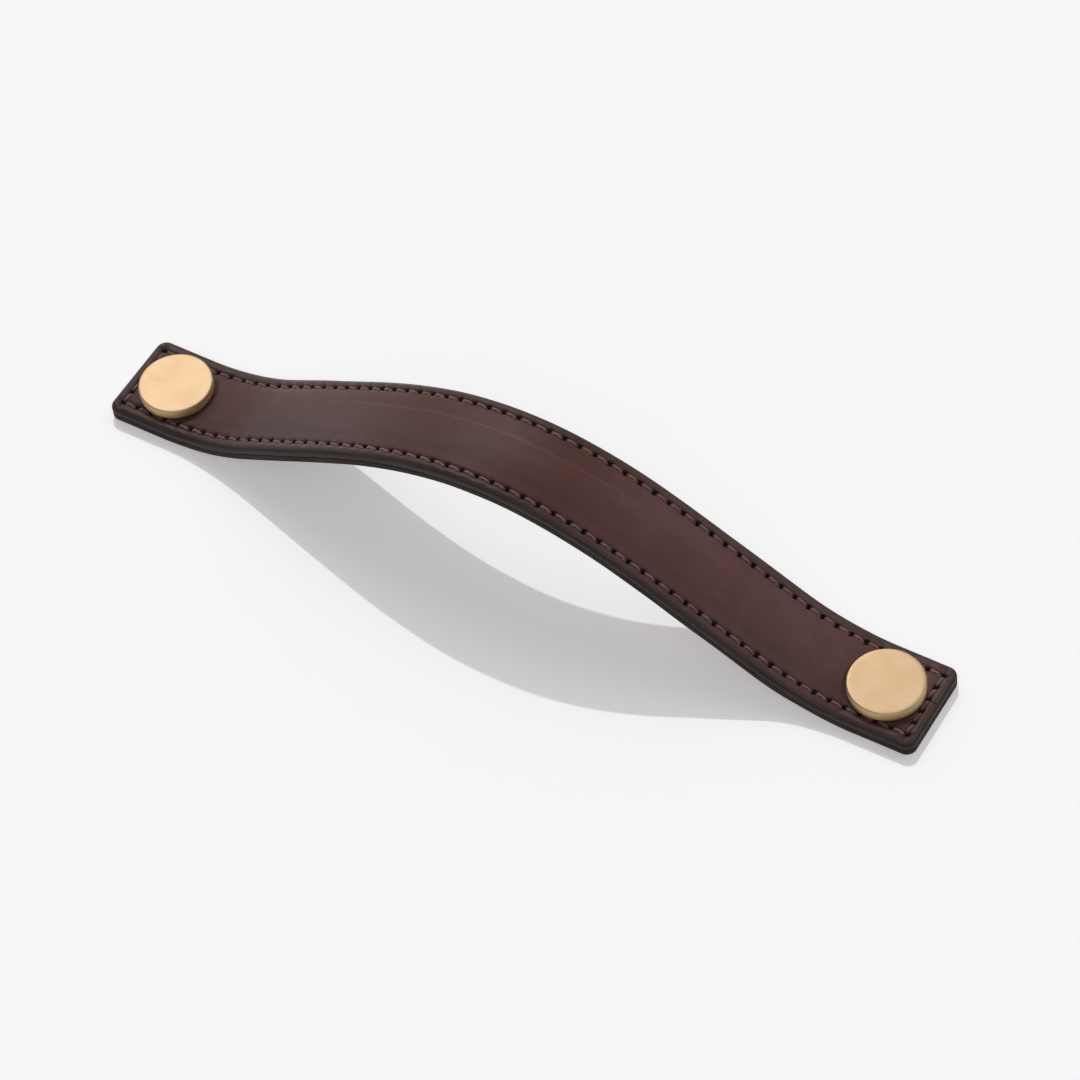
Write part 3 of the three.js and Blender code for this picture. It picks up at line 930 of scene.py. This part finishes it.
# painted shade in the grooves between the strands
colour = tree.mix(strand.step(0.1, 0.7), GROOVE_SHADE, STRAND)
colour = tree.mix(wax.step(0.3, 0.7) * 0.5, colour, WAX)
# painted shade at the ends, where the thread dives into its hole
deep = along.least(1 - along).step(0.08, 0.22, 0.08, 1.0)
colour = tree.dimmed(colour, deep)
fibres = tree.noise(flat, (4000, 9000, 4000), detail=1)
normal = bump(tree, strand + fibres * 0.15, 0.12 * mm, 0.8)
rough = wax.step(0.3, 0.7, 0.32, 0.45)
shader(tree, {"Base Color": colour, "Roughness": rough, "Normal": normal}, {})

# %% [markdown]
# ## Brushed brass
# The face of each button was rubbed one way with a fine abrasive pad, which leaves hair lines that
# wander a little, and the rim is left as turned, with rings round it. Both are noise that is
# stretched along the marks. It drives roughness and a faint bump, and colours the marks slightly.
# The side of the rim is painted lighter as a highlight, and painted shade darkens a line at its foot.

# %% The brass finish
CLEAN, STAINED, RUBBED = (0.88, 0.64, 0.375), (0.84, 0.59, 0.325), (0.94, 0.71, 0.46)
SCRATCH, RIM_HIGHLIGHT, CONTACT_SHADE = (0.62, 0.40, 0.2), (1.0, 0.80, 0.45), (0.3, 0.18, 0.08)
RUBBING_DIRECTION = math.radians(-17)

tree = fresh_tree(brass_finish)
place = tree.node("ShaderNodeTexCoord", out="Object")
turn = {"Vector": place, "Rotation": (0, 0, RUBBING_DIRECTION)}
rubbed = tree.node("ShaderNodeMapping", turn, vector_type="POINT")
# hair lines that sway a little on the face, and rings on the side of the rim
sway = tree.noise(place, (120, 120, 0), detail=1)
rx, ry, rz = tree.parts(rubbed)
rubbed = tree.vector(rx, ry + sway * (1.8 * mm), rz)
hair = tree.noise(rubbed, (210, 5200, 40), detail=3, roughness=0.65)
coarse_hair = tree.noise(rubbed, (190, 1300, 40), detail=2)
_, _, z = tree.parts(place)
top = SEAT_HEIGHT + BUTTON_THICKNESS
side_of_rim = z.step(top - 0.3 * mm, top - 0.05 * mm, 1.0, 0.0)
rings = tree.noise(place, (500, 500, 6000), detail=2)
marks = hair + (rings - hair) * side_of_rim
# tarnish, light and dark marks, a painted highlight on the rim and painted shade in the line where it
# meets the leather
stain = tree.noise(place, (160, 160, 160), detail=3).step(0.35, 0.7)
colour = tree.mix(stain, CLEAN, STAINED)
colour = tree.mix(marks.step(0.3, 0.75) * 0.15, colour, RUBBED)
colour = tree.mix(coarse_hair.step(0.62, 0.74) * 0.13 * (1 - side_of_rim), colour, SCRATCH)
# painted highlight on the side of the rim
colour = tree.mix(side_of_rim * 0.9, colour, RIM_HIGHLIGHT)
# painted shade where the button meets the leather
contact_shade = z.step(SEAT_HEIGHT + 0.1 * mm, SEAT_HEIGHT + 0.3 * mm, 1.0, 0.0)
colour = tree.mix(contact_shade * 0.4, colour, CONTACT_SHADE)
rough = marks.step(0.25, 0.75, 0.33, 0.39) + side_of_rim * 0.45
normal = bump(tree, marks + coarse_hair * 0.3, 0.02 * mm, 0.2)
sockets = {"Base Color": colour, "Roughness": rough, "Normal": normal}
shader(tree, sockets, {"Metallic": 1.0})

# %% [markdown]
# ## Joining the pieces to the part
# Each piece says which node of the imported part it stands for, which body it moves with and which
# material slot its finish comes from. The pull has no moving parts, so there is one body.

# %% Pieces, nodes and slots
dressed = [
    (face_leather, "face_strap", "face_leather"),
    (back_leather, "backing_strap", "back_leather"),
    (needle_stitches, "needle_thread", "thread"),
    (bobbin_stitches, "bobbin_thread", "thread"),
    (left, "left_button", "brass"),
    (right, "right_button", "brass"),
]
for piece, node, slot in dressed:
    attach(piece, "root")
    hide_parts(node)
print([piece.name for piece, _, _ in dressed])

# %% [markdown]
# ## The studio
# The photograph was taken on a white table with one lamp high behind the pull and white panels
# round it. A sun lamp of less than one degree gives the shadow its crisp outline. The panels are
# glows in the world, and each has a task: the faces of the buttons mirror one, the left flank takes
# its sheen from another, and one on the camera's side lights the arrises of the buttons. The table
# shines a little of its own for the camera and in reflections, so that it is white without lighting
# the pull.

# %% Table, lamps and world
HALF_TABLE, BELOW_PULL = 1.6, 0.05 * mm
TABLE_GLOW, BACKDROP_GLOW = 0.37, 0.92
LAMP_FROM, LAMP_ENERGY, LAMP_DEGREES = (-0.335, 0.530, 0.779), 1.15, 0.8
LAMP_COLOUR, PANEL_COLOUR = (0.985, 1.045, 0.985), (1, 0.975, 1, 1)

floor_mesh = bpy.data.meshes.new("table")
corners = [(x * HALF_TABLE, y * HALF_TABLE, 0) for x, y in ((-1, -1), (1, -1), (1, 1), (-1, 1))]
floor_mesh.from_pydata(corners, [], [(0, 1, 2, 3)])
floor = placed("table", floor_mesh)
floor.location.z = -BELOW_PULL
table_finish = bpy.data.materials.new("white table")
tree = fresh_tree(table_finish)
place = tree.node("ShaderNodeTexCoord", out="Object")
paper = tree.noise(place, (900, 900, 900), detail=2)
white = tree.mix(paper, (0.91, 0.91, 0.91), (0.93, 0.93, 0.93))
table = tree.node("ShaderNodeBsdfDiffuse", {"Color": white})
# the glow is seen by the camera and in reflections only
rays = tree.node("ShaderNodeLightPath", out="Is Camera Ray")
rays = rays.most(rays.other("Is Glossy Ray")).most(rays.other("Is Transmission Ray"))
glow = tree.node("ShaderNodeEmission", {"Color": (0.934, 0.908, 0.934, 1), "Strength": TABLE_GLOW})
glowing = tree.node("ShaderNodeAddShader", {0: table, 1: glow})
lit = tree.node("ShaderNodeMixShader", {0: rays, 1: table, 2: glowing})
tree.node("ShaderNodeOutputMaterial", {"Surface": lit})
floor_mesh.materials.append(table_finish)

lamp = bpy.data.lights.new("lamp", "SUN")
lamp.energy, lamp.angle, lamp.color = LAMP_ENERGY, math.radians(LAMP_DEGREES), LAMP_COLOUR
sun = placed("lamp", lamp)
sun.rotation_euler = Vector(LAMP_FROM).to_track_quat("Z", "Y").to_euler()
sun.visible_glossy = False

world = bpy.data.worlds.new("studio")
bpy.context.scene.world = world
world.use_nodes = True
world.node_tree.nodes.clear()
tree = Tree(world.node_tree)
direction = tree.node("ShaderNodeTexCoord", out="Generated")
# direction, angle out to which it is full, angle at which it ends, and radiance
panels = [
    ((-0.44, 0.475, 0.765), 8, 18, 1.65),  # high on the left, mirrored by the buttons' faces
    ((-0.86, 0.45, 0.20), 10, 42, 0.58),  # low on the left, sheen of the left flank
    ((0.44, 0.48, 0.76), 8, 27, 0.75),  # high on the right, sheen of the right flank
    ((0.00, 0.10, 1.00), 12, 45, 0.2),  # overhead
    ((0.37, -0.48, 0.79), 8, 26, 0.8),  # beside the camera, arrises of the buttons
    ((-0.15, -0.88, 0.42), 20, 60, 0.17),  # low in front, the cut edge
    ((-0.10, 0.95, 0.25), 12, 42, 0.3),  # low behind
]
strength = 0.0
for towards, inner, outer, radiance in panels:
    towards = tuple(Vector(towards).normalized())
    facing = tree.vector_math("DOT_PRODUCT", direction, towards, out="Value")
    limits = math.cos(math.radians(outer)), math.cos(math.radians(inner))
    strength = facing.step(*limits, 0.0, radiance) + strength
seen = tree.node("ShaderNodeLightPath", out="Is Camera Ray")
strength = strength + (BACKDROP_GLOW - strength) * seen
light = tree.node("ShaderNodeBackground", {"Color": PANEL_COLOUR, "Strength": strength})
tree.node("ShaderNodeOutputWorld", {"Surface": light})

# %% [markdown]
# ## The camera
# The camera's place was worked out from the photograph: the outline of the strap, its stitch holes
# and the rims of the buttons fix the direction, the distance and the length of the lens together.

# %% The camera at the photograph's angle
AZIMUTH, ELEVATION, ROLL = 0.6554986, 0.9163092, -0.1498483
TO_RIGHT, TO_TOP, AWAY = 5.41997 * mm, 1.04575 * mm, 1088.099 * mm
SENSOR, PHOTO_PIXELS, FOCAL_PIXELS = 36, 1080, 4015.004
backwards = Vector((
    math.sin(AZIMUTH) * math.cos(ELEVATION),
    -math.cos(AZIMUTH) * math.cos(ELEVATION),
    math.sin(ELEVATION),
))
level = Vector((math.cos(AZIMUTH), math.sin(AZIMUTH), 0))
upright = backwards.cross(level)
rightwards = math.cos(ROLL) * level + math.sin(ROLL) * upright
upwards = -math.sin(ROLL) * level + math.cos(ROLL) * upright
place = rightwards * TO_RIGHT + upwards * TO_TOP + backwards * AWAY
lens = bpy.data.cameras.new("camera")
lens.sensor_width = SENSOR
lens.lens = FOCAL_PIXELS / PHOTO_PIXELS * SENSOR
lens.clip_start = 0.05
camera = placed("camera", lens)
turn = Matrix((rightwards, upwards, backwards)).transposed().to_4x4()
camera.matrix_world = Matrix.Translation(place) @ turn
bpy.context.scene.camera = camera
bpy.context.scene.view_settings.view_transform = "Standard"
print("lens", round(lens.lens, 1), "mm, camera at", [round(v, 3) for v in place])
